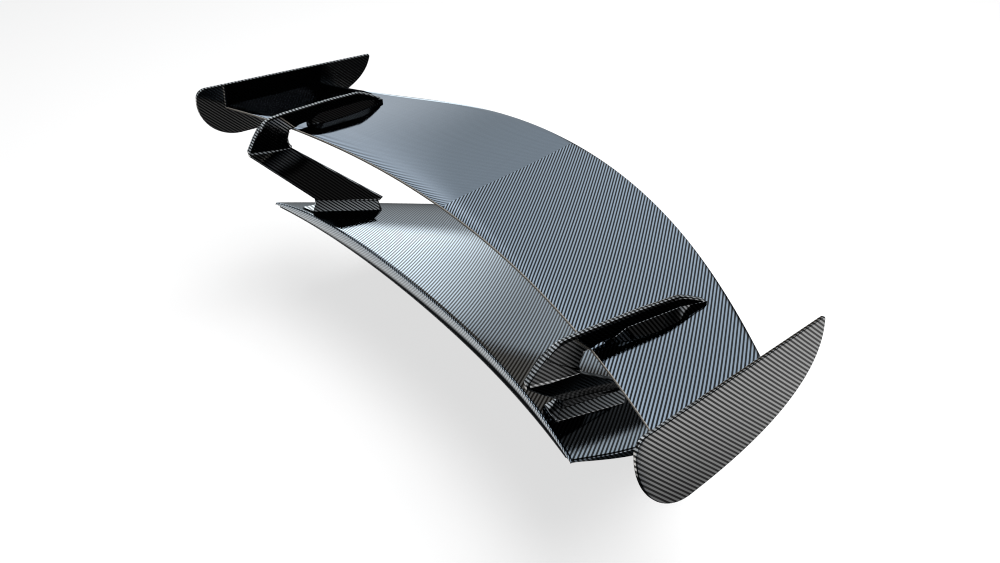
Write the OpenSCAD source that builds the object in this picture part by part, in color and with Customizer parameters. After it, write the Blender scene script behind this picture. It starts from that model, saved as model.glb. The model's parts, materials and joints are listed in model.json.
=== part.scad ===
// Swan-neck rear wing on a deck panel. Millimetres, +X right, +Y rearward, +Z up.
// The origin is midway between the two front studs, in their free length.

/* [Blade] */
// Half span of the blade, to the endplate
half_span = 636; // [600:1:660]
// Leading edge at the centreline, measured back from the front studs
lead_mid_y = 30; // [20:1:40]
// How far the leading edge sweeps forward at the tip
lead_sweep = 119; // [90:1:130]
// Trailing edge at the centreline
trail_mid_y = 362; // [350:1:375]
// Height of the leading edge
lead_z = 224; // [218:1:228]
// Height of the trailing edge at the centreline
trail_mid_z = 238; // [230:1:246]
// How far the trailing edge drops towards the tips
trail_drop = 43; // [30:1:50]
// Thickness of the carbon skins
skin_t = 2; // [1.5:0.1:2.5]
// Thickness of the trailing edge
trail_t = 3; // [2.5:0.1:4]

/* [Endplates] */
// Thickness of an endplate
plate_t = 6; // [4:0.5:8]
// Cant of the endplates, bottom outboard
plate_cant = 15.1; // [13:0.1:17]
// Downward slope of the top edges towards the rear
plate_pitch = 5.42; // [4:0.1:7]

/* [Necks] */
// Distance of a neck arm from the centreline, at its datum
neck_x = 431.5; // [426:0.5:436]
// Toe-out of the arms, in millimetres across per millimetre back
neck_toe = 0.119; // [0.11:0.001:0.13]
// Overall thickness of a neck
neck_t = 11; // [10:0.5:13]
// Thickness of the neck's carbon shells
neck_shell_t = 2.5; // [1.5:0.1:3]

/* [Deck panel] */
// Half width of the deck panel over its rear part
deck_half_w = 487; // [480:1:495]
// Half width at the front corners
deck_front_half_w = 471; // [465:1:475]
// Rear edge of the panel
deck_rear_y = 360; // [350:1:372]
// Fall of the panel per millimetre rearward
deck_slope = 0.4524; // [0.42:0.001:0.48]
// Height of the crown at the centreline, over the side edges
deck_crown = 49; // [42:1:54]
// Thickness of the panel's top skin
deck_t = 3; // [2.5:0.1:3.5]
// Depth of the front face at the centreline
deck_front_h = 35; // [30:1:38]

/* [Fasteners] */
// Radius of the M8 studs that hold the wing to the lid
stud_r = 4; // [4:0.5:4]
// Distance from the centreline to each stud
stud_x = 388; // [386:1:389]
// Distance from the front studs to the rear studs
stud_pitch = 90; // [80:1:94]
// Free length of each stud below its nut
stud_free = 38; // [30:1:45]
// Radius of the M6 screws that hold the blade to the necks
screw_r = 3; // [3:0.5:3]

/* [Hidden] */

$fn = 32;
carbon = [0.13, 0.15, 0.17];
fit_gap = 0.2;
seam_s = 0.005;
span_steps = 42;
chord_steps = 17;

// ---- helpers --------------------------------------------------------------------------------

function lerp(a, b, t) = a + (b - a) * t;
function clamp01(t) = max(0, min(1, t));

// A closed solid through rings that all have the same number of points.
module loft(rings) {
    n = len(rings[0]);
    last = len(rings) - 1;
    sides = [for (j = [0:last - 1], i = [0:n - 1])
        let (a = j * n + i, b = j * n + (i + 1) % n)
        each [[a, b + n, b], [a, a + n, b + n]]];
    strip = [for (i = [0:ceil(n / 2) - 2]) let (c = n - 1 - i)
        each (i + 1 == c - 1 ? [[i, i + 1, c]] : [[i, i + 1, c - 1], [i, c - 1, c]])];
    far = [for (f = strip) [for (k = [2:-1:0]) last * n + f[k]]];
    polyhedron(points = [for (r = rings) each r], faces = concat(sides, strip, far), convexity = 6);
}

// A quarter of a superellipse, from angle a0 to a1.
function bow(cx, cy, rx, ry, power, a0, a1, steps) = [for (i = [0:steps])
    let (a = lerp(a0, a1, i / steps), c = cos(a), s = sin(a))
    [cx + rx * sign(c) * pow(abs(c), 2 / power), cy + ry * sign(s) * pow(abs(s), 2 / power)]];

module both_sides() {
    children();
    mirror([1, 0, 0]) children();
}

// ---- blade ----------------------------------------------------------------------------------

function lead_y(x) = lead_mid_y - lead_sweep * pow(x / half_span, 2);
function trail_y(x) =
    let (u = x / half_span) trail_mid_y - 161 * pow(u, 2) - 56 * pow(u, 4);
function lead_edge_z(x) = lead_z - 7 * pow(x / half_span, 4);
function trail_edge_z(x) = trail_mid_z - trail_drop * sin(129.6 * pow(x / half_span, 2));

// The inner face of an endplate, as a distance from the centreline.
plate_x0 = 624.2;
plate_y0 = -150;
plate_z0 = 282;
function plate_inner_x(y, z) =
    plate_x0 - plate_t / 2 / cos(plate_cant)
    - tan(plate_cant) * (sin(plate_pitch) * (y - plate_y0) + cos(plate_pitch) * (z - plate_z0));

// A point of the blade: s runs along the chord, h stands square to it.
function blade_pt(x, s, h) =
    let (
        ly = lead_y(x), lz = lead_edge_z(x),
        dy = trail_y(x) - ly, dz = trail_edge_z(x) - lz, c = norm([dy, dz]),
        y = ly + s * dy - h * dz / c, z = lz + s * dz + h * dy / c,
        toward_end = clamp01((abs(x) - 0.9 * half_span) / (0.1 * half_span)),
        shift = toward_end * (plate_inner_x(y, z) - fit_gap - half_span)
    ) [x + sign(x) * shift, y, z];
function chord(x) = norm([trail_y(x) - lead_y(x), trail_edge_z(x) - lead_edge_z(x)]);

// Heights of the upper and lower surfaces and of the joint between the skins.
function upper_h(x, s) = chord(x) * (0.085 * sqrt(s) * (1 - s) - 0.11 * s * (1 - s));
function lower_h(x, s) =
    -chord(x) * (0.13 * sqrt(s) * (1 - s) + 0.06 * s * (1 - s)) - trail_t * s;
function joint_h(s) = -trail_t / 2 * s;
function under_upper_h(x, s) = max(upper_h(x, s) - skin_t, joint_h(s));
function over_lower_h(x, s) = min(lower_h(x, s) + skin_t, joint_h(s));

function chord_s(i) = seam_s + (1 - seam_s) * pow(i / chord_steps, 1.8);
function span_x(j, n) = half_span * (2 * j / n - 1);
function blade_top_z(x, y) =
    let (s = (y - lead_y(x)) / (trail_y(x) - lead_y(x)))
    blade_pt(x, clamp01(s), upper_h(x, clamp01(s)))[2];

module blade_upper_shape() {
    loft([for (j = [0:span_steps]) let (x = span_x(j, span_steps)) concat(
        [for (i = [0:chord_steps]) blade_pt(x, chord_s(i), upper_h(x, chord_s(i)))],
        [for (i = [chord_steps:-1:0]) blade_pt(x, chord_s(i), under_upper_h(x, chord_s(i)))])]);
}

module blade_upper_skin() {
    color(carbon) difference() {
        blade_upper_shape();
        both_sides() at_neck_screws() translate([0, 0, -20]) cylinder(r = screw_r + 0.3, h = 40);
    }
}

module blade_lower_skin() {
    color(carbon) loft([for (j = [0:span_steps]) let (x = span_x(j, span_steps)) concat(
        [for (i = [0:chord_steps]) blade_pt(x, chord_s(i), over_lower_h(x, chord_s(i)))],
        [for (i = [chord_steps:-1:0]) blade_pt(x, chord_s(i), lower_h(x, chord_s(i)))])]);
}

// The bead of structural adhesive that closes the two skins along the leading edge.
module leading_edge_seam() {
    color([0.62, 0.58, 0.5]) loft([for (j = [0:span_steps]) let (x = span_x(j, span_steps)) [
        blade_pt(x, seam_s, lower_h(x, seam_s)),
        blade_pt(x, seam_s, upper_h(x, seam_s)),
        blade_pt(x, seam_s * 0.3, upper_h(x, seam_s * 0.3)),
        blade_pt(x, 0, 0),
        blade_pt(x, seam_s * 0.3, lower_h(x, seam_s * 0.3))]]);
}

front_spar_s = 0.22;
rear_spar_s = 0.68;
spar_half_s = 0.006;
spar_reach = 0.955;

module spar(s) {
    steps = 28;
    color([0.2, 0.2, 0.22]) loft([for (j = [0:steps])
        let (x = spar_reach * span_x(j, steps), a = s - spar_half_s, b = s + spar_half_s) [
        blade_pt(x, a, over_lower_h(x, a) + fit_gap), blade_pt(x, a, under_upper_h(x, a) - fit_gap),
        blade_pt(x, b, under_upper_h(x, b) - fit_gap), blade_pt(x, b, over_lower_h(x, b) + fit_gap)]]);
}
module front_spar() { spar(front_spar_s); }
module rear_spar() { spar(rear_spar_s); }

// A rib that fills the space between the skins from chord position s0 to s1.
module rib(x0, x1, s0, s1) {
    steps = 8;
    s = [for (i = [0:steps]) lerp(s0, s1, i / steps)];
    color([0.55, 0.5, 0.42]) loft([for (x = [x0, x1]) concat(
        [for (i = [0:steps]) blade_pt(x, s[i], under_upper_h(x, s[i]) - fit_gap)],
        [for (i = [steps:-1:0]) blade_pt(x, s[i], over_lower_h(x, s[i]) + fit_gap)])]);
}

rib_clear_s = 0.01;
module centre_rib() { rib(-5, 5, front_spar_s + rib_clear_s, rear_spar_s - rib_clear_s); }

end_rib_w = 20;
dowel_s = [0.2, 0.45];
dowel_r = 2.5;
dowel_reach = 14;

module at_dowels() {
    for (s = dowel_s) {
        x = half_span;
        translate(blade_pt(x, s, (upper_h(x, s) + lower_h(x, s)) / 2))
            rotate([-plate_pitch, 0, 0]) rotate([0, 90 - plate_cant, 0]) children();
    }
}

module end_rib() {
    difference() {
        rib(half_span - end_rib_w, half_span, 0.06, 0.85);
        at_dowels() translate([0, 0, -dowel_reach]) cylinder(r = dowel_r, h = dowel_reach + 5);
    }
}
module end_rib_right() { end_rib(); }
module end_rib_left() { mirror([1, 0, 0]) end_rib(); }

// ---- endplates ------------------------------------------------------------------------------

plate_len = 438;
plate_drop = 142;
plate_top = 0.8;
plate_low_s = 106;
plate_corner = 6;
function plate_outline() = concat(
    bow(22, plate_top - 21, 20.5, 21, 2, 90, 180, 6),
    bow(plate_low_s, -28, plate_low_s - 1.5, plate_drop - 28, 1.87, 180, 269, 12),
    bow(plate_low_s, 0, plate_len - plate_low_s, plate_drop, 2.4, 270, 357, 20),
    bow(plate_len - plate_corner, -7, plate_corner, plate_corner, 2, 0, 90, 4));

module plate_frame() {
    translate([plate_x0, plate_y0, plate_z0])
        rotate([-plate_pitch, 0, 0]) rotate([0, -plate_cant, 0]) children();
}

module endplate() {
    color(carbon) difference() {
        plate_frame() translate([-plate_t / 2, 0, 0]) rotate([90, 0, 90])
            linear_extrude(plate_t) polygon(plate_outline());
        at_dowels() translate([0, 0, -5]) cylinder(r = dowel_r, h = 5 + fit_gap + plate_t / 2);
    }
}
module endplate_right() { endplate(); }
module endplate_left() { mirror([1, 0, 0]) endplate(); }

module endplate_dowels() {
    color("silver") both_sides() at_dowels()
        translate([0, 0, -dowel_reach]) cylinder(r = dowel_r, h = dowel_reach + plate_t / 2);
}

// ---- necks ----------------------------------------------------------------------------------

neck_datum_y = -60;
function neck_mid_x(y) = neck_x + neck_toe * (y - neck_datum_y);

elbow = [-143, 209];
crease_in = [-44, 188.5];
saddle_h = 7;

// The arm from the crease up over the blade, as (y, z) points seen from the side. Its upper and
// lower edges have the same number of points, and those behind the elbow pair off by y.
crest = [[-48, 271], [62, 260], [145, 248], [168, 236.5], [204, 213.5]];
arm_ys = [for (y = [-28:10:202]) y];
function arm_top() = concat(
    [elbow, [-144, 222], [-126, 246], [-109, 264]],
    bow(-76, 253, 34, 19.5, 2, 161, 92, 5),
    [crest[0]],
    [for (y = arm_ys) [y, lookup(y, crest)]]);
function arm_bottom() = concat(
    [crease_in],
    bow(-36, 209, 12, 19, 2, 240, 120, 8),
    [[-42, 230]],
    [for (y = arm_ys) [y, blade_top_z(neck_mid_x(y), y) + saddle_h + fit_gap]]);

// The foot's top, where the strut stands on it.
foot_front_y = -33;
foot_rear_y = 128;
foot_h = 29;
foot_x = 385;
strut_rear = [141, 6];
function foot_mid_x(y) = foot_x + 0.04 * (y - foot_front_y);
function foot_top_z(y) = deck_z(foot_mid_x(y), y) + foot_h;

// Moves two paired edges towards each other by d.
function drawn_in(from, to, d) = [for (i = [0:len(from) - 1])
    lerp(from[i], to[i], d / norm(to[i] - from[i]))];

// A slice of a neck between t0 and t1 across: the arm plate down to the crease, and below it
// the strut, which leans inboard on its way down to the foot.
module neck_slice(t0, t1, trim) {
    top = drawn_in(arm_top(), arm_bottom(), trim);
    bottom = drawn_in(arm_bottom(), arm_top(), trim);
    m = len(top);
    l0 = [foot_front_y, foot_top_z(foot_front_y)];
    l1 = [foot_rear_y, foot_top_z(foot_rear_y)];
    low = [lerp(strut_rear, l1, trim * 0.06), l1, lerp(l0, l1, trim * 0.012)];
    points = [for (t = [t0, t1]) each concat(
        [for (p = concat(top, [for (i = [m - 1:-1:0]) bottom[i]]))
            [neck_mid_x(p[0]) + t, p[0], p[1]]],
        [for (p = low) [foot_mid_x(p[0]) + t, p[0], p[1]]])];
    n = 2 * m;
    all = n + 3;
    arm_cap = [for (i = [0:m - 2]) let (c = n - 1 - i) each [[i, i + 1, c - 1], [i, c - 1, c]]];
    cap = concat(arm_cap, [[n - 1, n, n + 1], [n - 1, n + 1, n + 2], [n - 1, n + 2, 0]]);
    far = [for (f = cap) [for (j = [2:-1:0]) f[j] + all]];
    sides = [for (i = [0:all - 1]) let (j = (i + 1) % all)
        each [[i, i + all, j], [j, i + all, j + all]]];
    polyhedron(points = points, faces = concat(cap, far, sides), convexity = 6);
}

half_neck = neck_t / 2;
core_half = half_neck - neck_shell_t;
core_trim = 1;

module neck_outer_shell_right() { color(carbon) neck_slice(core_half + 0.05, half_neck, 0); }
module neck_outer_shell_left() { mirror([1, 0, 0]) neck_outer_shell_right(); }
module neck_inner_shell_right() { color(carbon) neck_slice(-half_neck, -core_half - 0.05, 0); }
module neck_inner_shell_left() { mirror([1, 0, 0]) neck_inner_shell_right(); }

module neck_core() {
    color("silver") neck_slice(-core_half, core_half, core_trim);
}
module neck_core_right() { neck_core(); }
module neck_core_left() { mirror([1, 0, 0]) neck_core(); }

// ---- saddles on the blade, and their screws ---------------------------------------------------

saddle_front_y = 6;
saddle_rear_y = 208;
saddle_side_h = 19;
saddle_play = 0.15;
screw_y = [78, 138];
screw_grip = 5.5;
neck_plate_t = 5;

// Half width on the blade, and the height to which the sides climb the arm.
saddle_plan = [[6, 6.6], [14, 8], [28, 14], [42, 18], [90, 20], [130, 16.5], [165, 11.5], [208, 6.4]];
saddle_climb = [[6, 7.4], [14, 8.6], [36, saddle_side_h], [150, saddle_side_h], [208, 7.8]];

// A channel that the arm's lower edge sits in, with sides that slope out to the blade.
module saddle_shape() {
    steps = 26;
    across = [-1, -0.5, 0, 0.5, 1];
    in = half_neck + saddle_play;
    loft([for (j = [0:steps])
        let (y = lerp(saddle_front_y, saddle_rear_y, j / steps), x = neck_mid_x(y),
            z = blade_top_z(x, y), w = lookup(y, saddle_plan), h = lookup(y, saddle_climb)) concat(
        [for (a = across) [x + a * w, y, blade_top_z(x + a * w, y) + fit_gap / 2]],
        [[x + w, y, blade_top_z(x + w, y) + 1.6], [x + in, y, z + h], [x + in, y, z + saddle_h],
            [x - in, y, z + saddle_h], [x - in, y, z + h], [x - w, y, blade_top_z(x - w, y) + 1.6]])]);
}

// Each screw stands square to the blade, with its origin on the blade's upper surface.
module at_neck_screws() {
    for (y = screw_y) {
        x = neck_mid_x(y);
        tilt = atan((blade_top_z(x, y + 5) - blade_top_z(x, y - 5)) / 10);
        translate([x, y, blade_top_z(x, y)]) rotate([tilt, 0, 0]) children();
    }
}

module neck_saddle() {
    color(carbon) difference() {
        saddle_shape();
        at_neck_screws() translate([0, 0, -5]) cylinder(r = screw_r, h = 5 + screw_grip);
    }
}
module neck_saddle_right() { neck_saddle(); }
module neck_saddle_left() { mirror([1, 0, 0]) neck_saddle(); }

neck_plate_drop = skin_t + 0.8;
module neck_plate() {
    y = (screw_y[0] + screw_y[1]) / 2;
    x = neck_mid_x(y);
    tilt = atan((blade_top_z(x, y + 25) - blade_top_z(x, y - 25)) / 50);
    color("silver") difference() {
        translate([x, y, blade_top_z(x, y) - neck_plate_drop]) rotate([tilt, 0, 0])
            translate([-22, -46, -neck_plate_t]) cube([44, 92, neck_plate_t]);
        at_neck_screws() translate([0, 0, -20]) cylinder(r = screw_r + 0.3, h = 30);
    }
}
module neck_plate_right() { neck_plate(); }
module neck_plate_left() { mirror([1, 0, 0]) neck_plate(); }

washer_t = 1.6;
head_h = 3.3;
plate_under = -neck_plate_drop - neck_plate_t - 0.4;
module neck_screws() {
    shank = screw_grip - plate_under + washer_t - 0.3;
    color("dimgray") both_sides() at_neck_screws() {
        translate([0, 0, plate_under - washer_t]) cylinder(r = screw_r, h = shank);
        translate([0, 0, plate_under - washer_t - head_h]) cylinder(r = 5.2, h = head_h);
    }
}
module screw_washers() {
    color("silver") both_sides() at_neck_screws() translate([0, 0, plate_under - washer_t])
        difference() {
            cylinder(r = 6.5, h = washer_t);
            translate([0, 0, -1]) cylinder(r = screw_r + 0.2, h = washer_t + 2);
        }
}

// ---- deck panel -------------------------------------------------------------------------------

deck_datum_z = 3;
deck_front_y = -36;
front_bow = 53;
deck_xi_steps = 30;
deck_eta_steps = 12;

function deck_z(x, y) =
    deck_datum_z - deck_slope * y + deck_crown * (1 - pow(clamp01(abs(x) / deck_half_w), 4));
function deck_edge_y(xi) = deck_front_y - front_bow * pow(xi, 2);
function deck_back_y(xi) = deck_rear_y - 14 * pow(xi, 8);
function deck_w(y) = lerp(deck_front_half_w, deck_half_w, sin(90 * clamp01((y + 90) / 180)));

// A point of the panel at xi across and eta back, drop below its top surface.
function deck_pt(xi, eta, drop) =
    let (y = lerp(deck_edge_y(xi), deck_back_y(xi), eta), x = xi * deck_w(y))
    [x, y, deck_z(x, y) - drop];
function front_face_h(xi) = deck_front_h - 29 * pow(xi, 4);
rear_face_h = 16;
function side_face_h(eta) = min(19, 4 + 46 * eta);

wall_eta = 0.008;
wall_xi = 0.007;

// The top skin: a shallow tray whose rim turns down all round.
module deck_skin_shape() {
    n = deck_eta_steps;
    wall = 1 - wall_xi;
    inner = wall - 0.0002;
    xis = concat([-1, -wall], [for (j = [0:deck_xi_steps]) inner * (2 * j / deck_xi_steps - 1)], [wall, 1]);
    loft([for (xi = xis)
        let (in_wall = abs(xi) > inner + 0.0001) concat(
        [deck_pt(xi, 0, front_face_h(xi)), deck_pt(xi, 0, 2), deck_pt(xi, 0.006, 0.3)],
        [for (i = [1:n - 1]) deck_pt(xi, i / n, 0)],
        [deck_pt(xi, 0.994, 0.3), deck_pt(xi, 1, 2), deck_pt(xi, 1, rear_face_h)],
        [deck_pt(xi, 1 - wall_eta, rear_face_h)],
        [deck_pt(xi, 1 - wall_eta, in_wall ? rear_face_h - 0.2 : deck_t)],
        [for (i = [n - 1:-1:1])
            deck_pt(xi, i / n, in_wall ? lerp(side_face_h(i / n), rear_face_h, pow(i / n, 6)) : deck_t)],
        [deck_pt(xi, wall_eta, in_wall ? front_face_h(xi) - 0.2 : deck_t)],
        [deck_pt(xi, wall_eta, front_face_h(xi))])]);
}

front_stud_y = 0;
module at_studs() {
    for (y = [front_stud_y, front_stud_y + stud_pitch]) translate([stud_x, y, 0]) children();
}
module stud_clearance() {
    both_sides() at_studs() translate([0, 0, -120]) cylinder(r = stud_r + 0.5, h = 240);
}

module deck_skin() {
    color(carbon) difference() {
        deck_skin_shape();
        stud_clearance();
    }
}

// A slab that follows the deck surface between two depths.
module deck_slab(x0, x1, y0, y1, nx, ny, top, bottom) {
    loft([for (j = [0:nx]) let (x = lerp(x0, x1, j / nx)) concat(
        [for (i = [0:ny]) let (y = lerp(y0, y1, i / ny)) [x, y, deck_z(x, y) - top]],
        [for (i = [ny:-1:0]) let (y = lerp(y0, y1, i / ny)) [x, y, deck_z(x, y) - bottom]])]);
}

liner_top = 9.5;
liner_t = 1.5;
liner_xi = 0.93;
module deck_liner() {
    color([0.16, 0.16, 0.17]) difference() {
        loft([for (j = [0:24]) let (xi = liner_xi * (j / 12 - 1)) concat(
            [for (i = [0:6]) deck_pt(xi, lerp(0.05, 0.95, i / 6), liner_top)],
            [for (i = [6:-1:0]) deck_pt(xi, lerp(0.05, 0.95, i / 6), liner_top + liner_t)])]);
        stud_clearance();
    }
}

// Rubber strips under the turned-down rim.
seal_t = 3;
seal_w = 0.012;
module deck_seal() {
    color([0.06, 0.06, 0.06]) {
        loft([for (j = [0:24])
            let (xi = 0.97 * (j / 12 - 1), d = front_face_h(xi) + 0.05) [
            deck_pt(xi, 0, d), deck_pt(xi, seal_w, d), deck_pt(xi, seal_w, d + seal_t),
            deck_pt(xi, 0, d + seal_t)]]);
        loft([for (j = [0:24])
            let (xi = 0.97 * (j / 12 - 1), d = rear_face_h + 0.05) [
            deck_pt(xi, 1 - seal_w, d), deck_pt(xi, 1, d), deck_pt(xi, 1, d + seal_t),
            deck_pt(xi, 1 - seal_w, d + seal_t)]]);
    }
}

block_half_w = 22;
block_y0 = -28;
block_y1 = 118;
module seat_block() {
    color("silver") difference() {
        deck_slab(stud_x - block_half_w, stud_x + block_half_w, block_y0, block_y1, 4, 6,
            deck_t + fit_gap, liner_top - fit_gap);
        at_studs() translate([0, 0, -120]) cylinder(r = stud_r + 0.2, h = 240);
    }
}
module seat_block_right() { seat_block(); }
module seat_block_left() { mirror([1, 0, 0]) seat_block(); }

// ---- feet -------------------------------------------------------------------------------------

gasket_t = 1;
foot_plan = [[367, -50], [404, -57], [405, 115], [391, 135], [384, 124]];
foot_cap = [[foot_mid_x(foot_front_y) - half_neck, foot_front_y],
    [foot_mid_x(foot_front_y) + half_neck, foot_front_y],
    [foot_mid_x(foot_rear_y) + half_neck, foot_rear_y - 6],
    [foot_mid_x(foot_rear_y) + 1, foot_rear_y],
    [foot_mid_x(foot_rear_y) - half_neck, foot_rear_y - 4]];

// The foot is a frustum from its plan on the deck up to the strut.
module foot_shape() {
    loft([
        [for (p = foot_plan) [p[0], p[1], deck_z(p[0], p[1]) + gasket_t]],
        [for (p = foot_plan) [p[0], p[1], deck_z(p[0], p[1]) + gasket_t + 2]],
        [for (p = foot_cap) [p[0], p[1], foot_top_z(p[1]) - fit_gap]]]);
}

stud_grip = 13;
module neck_foot() {
    color(carbon) difference() {
        foot_shape();
        for (y = [front_stud_y, front_stud_y + stud_pitch])
            translate([stud_x, y, deck_z(stud_x, y) - 20]) cylinder(r = stud_r - 0.2, h = 20 + stud_grip);
    }
}
module neck_foot_right() { neck_foot(); }
module neck_foot_left() { mirror([1, 0, 0]) neck_foot(); }

gasket_inset = 1.5;
module foot_gasket() {
    color([0.06, 0.06, 0.06]) difference() {
        loft([for (lift = [fit_gap, gasket_t - 0.05]) [for (p = foot_plan)
            let (x = p[0] + gasket_inset * sign(386 - p[0]), y = p[1] + gasket_inset * sign(40 - p[1]))
            [x, y, deck_z(x, y) + lift]]]);
        at_studs() translate([0, 0, -120]) cylinder(r = stud_r + 0.3, h = 240);
    }
}
module foot_gasket_right() { foot_gasket(); }
module foot_gasket_left() { mirror([1, 0, 0]) foot_gasket(); }

// ---- studs and their hardware -------------------------------------------------------------------

bevel_r = 12;
bevel_min = 0.9;
nut_h = 6.5;
nut_flats = 13;

// Height of the bevel washer's level underside, at a stud y back.
function level_z(y) =
    deck_z(stud_x + bevel_r, y + bevel_r) - liner_top - liner_t - bevel_min;
function nut_bottom(y) = level_z(y) - washer_t - nut_h;
function stud_top(y) = deck_z(stud_x, y) + stud_grip - 0.3;

// The free length is full thread; above it the stud is rolled thread at a smaller radius.
thread_r = stud_r - 0.2;
thread_end = 0.6;
module deck_studs() {
    color("silver") both_sides() for (y = [front_stud_y, front_stud_y + stud_pitch])
        translate([stud_x, y, nut_bottom(y) - thread_end]) {
            cylinder(r = thread_r, h = stud_top(y) - nut_bottom(y) + thread_end, $fn = 48);
            translate([0, 0, -stud_free]) cylinder(r = stud_r, h = stud_free, $fn = 48);
        }
}

module bevel_washers() {
    color("silver") both_sides() for (y = [front_stud_y, front_stud_y + stud_pitch])
        difference() {
            translate([stud_x, y, level_z(y)]) cylinder(r = bevel_r, h = 40, $fn = 48);
            translate([stud_x, y, level_z(y) - 1]) cylinder(r = stud_r + 0.2, h = 60, $fn = 48);
            deck_side_cutter(y);
        }
}

// Everything above the liner's underside near a stud, as a tilted block.
module deck_side_cutter(y) {
    d = 0.1;
    gx = atan((deck_z(stud_x + d, y) - deck_z(stud_x - d, y)) / (2 * d));
    translate([stud_x, y, deck_z(stud_x, y) - liner_top - liner_t - 0.6])
        rotate([-atan(deck_slope * cos(gx)), -gx, 0]) translate([-40, -40, 0]) cube(80);
}

module flat_washers() {
    color("silver") both_sides() for (y = [front_stud_y, front_stud_y + stud_pitch])
        translate([stud_x, y, level_z(y) - washer_t]) difference() {
            cylinder(r = 8, h = washer_t, $fn = 48);
            translate([0, 0, -1]) cylinder(r = stud_r + 0.2, h = washer_t + 2, $fn = 48);
        }
}

module jam_nuts() {
    color("silver") both_sides() for (y = [front_stud_y, front_stud_y + stud_pitch])
        translate([stud_x, y, nut_bottom(y)]) difference() {
            cylinder(r = nut_flats / 2 / cos(30), h = nut_h, $fn = 6);
            translate([0, 0, -1]) cylinder(r = thread_r, h = nut_h + 2, $fn = 48);
        }
}

blade_upper_skin();
blade_lower_skin();
leading_edge_seam();
front_spar();
rear_spar();
centre_rib();
end_rib_left();
end_rib_right();
neck_plate_left();
neck_plate_right();
endplate_left();
endplate_right();
endplate_dowels();
neck_outer_shell_left();
neck_outer_shell_right();
neck_inner_shell_left();
neck_inner_shell_right();
neck_core_left();
neck_core_right();
neck_saddle_left();
neck_saddle_right();
neck_foot_left();
neck_foot_right();
neck_screws();
screw_washers();
deck_skin();
deck_liner();
deck_seal();
foot_gasket_left();
foot_gasket_right();
seat_block_left();
seat_block_right();
deck_studs();
bevel_washers();
flat_washers();
jam_nuts();
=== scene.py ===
import bpy, bmesh, json, math
from mathutils import Matrix, Vector


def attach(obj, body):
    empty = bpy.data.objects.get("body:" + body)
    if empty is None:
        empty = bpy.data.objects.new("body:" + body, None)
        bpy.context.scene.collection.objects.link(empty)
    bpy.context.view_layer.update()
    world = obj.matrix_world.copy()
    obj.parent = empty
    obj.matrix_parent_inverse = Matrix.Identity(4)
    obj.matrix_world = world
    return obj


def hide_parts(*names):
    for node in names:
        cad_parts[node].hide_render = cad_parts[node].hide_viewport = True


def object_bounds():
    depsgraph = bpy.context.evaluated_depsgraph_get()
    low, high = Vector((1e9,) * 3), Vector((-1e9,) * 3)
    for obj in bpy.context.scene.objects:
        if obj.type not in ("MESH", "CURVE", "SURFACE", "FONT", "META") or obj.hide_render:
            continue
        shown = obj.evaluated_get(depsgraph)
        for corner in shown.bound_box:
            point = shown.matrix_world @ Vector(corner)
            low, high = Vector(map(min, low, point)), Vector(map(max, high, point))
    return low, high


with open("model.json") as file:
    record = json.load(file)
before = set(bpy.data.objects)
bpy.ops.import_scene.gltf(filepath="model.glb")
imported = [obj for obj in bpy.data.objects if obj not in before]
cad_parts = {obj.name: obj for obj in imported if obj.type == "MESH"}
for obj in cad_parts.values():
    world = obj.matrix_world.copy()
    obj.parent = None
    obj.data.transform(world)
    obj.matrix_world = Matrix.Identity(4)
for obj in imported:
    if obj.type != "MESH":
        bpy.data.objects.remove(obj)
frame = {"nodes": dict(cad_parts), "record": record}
cad_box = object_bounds()
nodes = frame["nodes"]
MM = 0.001

# ---------------------------------------------------------------- driving dimensions, in mm
HALF = 636.0        # blade, from the centre line to an endplate
LEAD_MID = 30.0     # leading edge on the centre line, rearward
LEAD_SWEEP = 119.0  # how far the leading edge runs forward towards the tips
SKIN = 2.0
TRAIL = 3.0         # thickness of the trailing edge
SEAM_S = 0.005      # where the skins meet the bead, as a share of the chord
PLATE_T = 6.0
CANT = math.radians(15.1)
PITCH = math.radians(5.42)
PX, PY, PZ = 624.2, -150.0, 282.0  # front end of the right endplate's top edge
PLATE_LEN = 438.0
DROP = 142.0        # depth of an endplate
PTOP = 0.8
LOW_S = 106.0       # where an endplate is deepest, rearward from its front
NECK_X = 431.5
TOE = 0.119
NECK_T = 11.0
SADDLE_H = 7.0
FOOT_X = 385.0
FOOT_Y0, FOOT_Y1 = -33.0, 128.0
FOOT_H = 29.0       # fold above the deck
FOOT_H_FRONT = 11.0  # the same for the outer rim's front end
DECK_HW = 487.0
DECK_FHW = 471.0    # half width at the front
DECK_REAR = 360.0
SLOPE = 0.4524
CROWN = 49.0
REAR_H = 16.0
DECK_T = 3.0
DECK_DATUM = 3.0    # height of the side edges beside the origin


# ---------------------------------------------------------------- helpers
def lerp(a, b, t):
    return a + (b - a) * t


def clamp01(t):
    return max(0.0, min(1.0, t))


def lookup(v, table):
    if v <= table[0][0]:
        return table[0][1]
    for (a, fa), (b, fb) in zip(table, table[1:]):
        if v <= b:
            return lerp(fa, fb, (v - a) / (b - a))
    return table[-1][1]


def bow(cx, cy, rx, ry, power, a0, a1, steps):
    """Points on a superellipse between two angles in degrees. Power 2 gives an ellipse."""
    pts = []
    for i in range(steps + 1):
        a = math.radians(lerp(a0, a1, i / steps))
        c, s = math.cos(a), math.sin(a)
        pts.append((cx + rx * math.copysign(abs(c) ** (2 / power), c),
                    cy + ry * math.copysign(abs(s) ** (2 / power), s)))
    return pts


# Weave coordinates: q runs across the ribs of the twill, and the two results count tows each way.
def tows(u, v, ku, kv):
    q = ku * u + kv * v
    r = -kv * u + ku * v
    return (2 * (q + r), 2 * (q - r))


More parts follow.
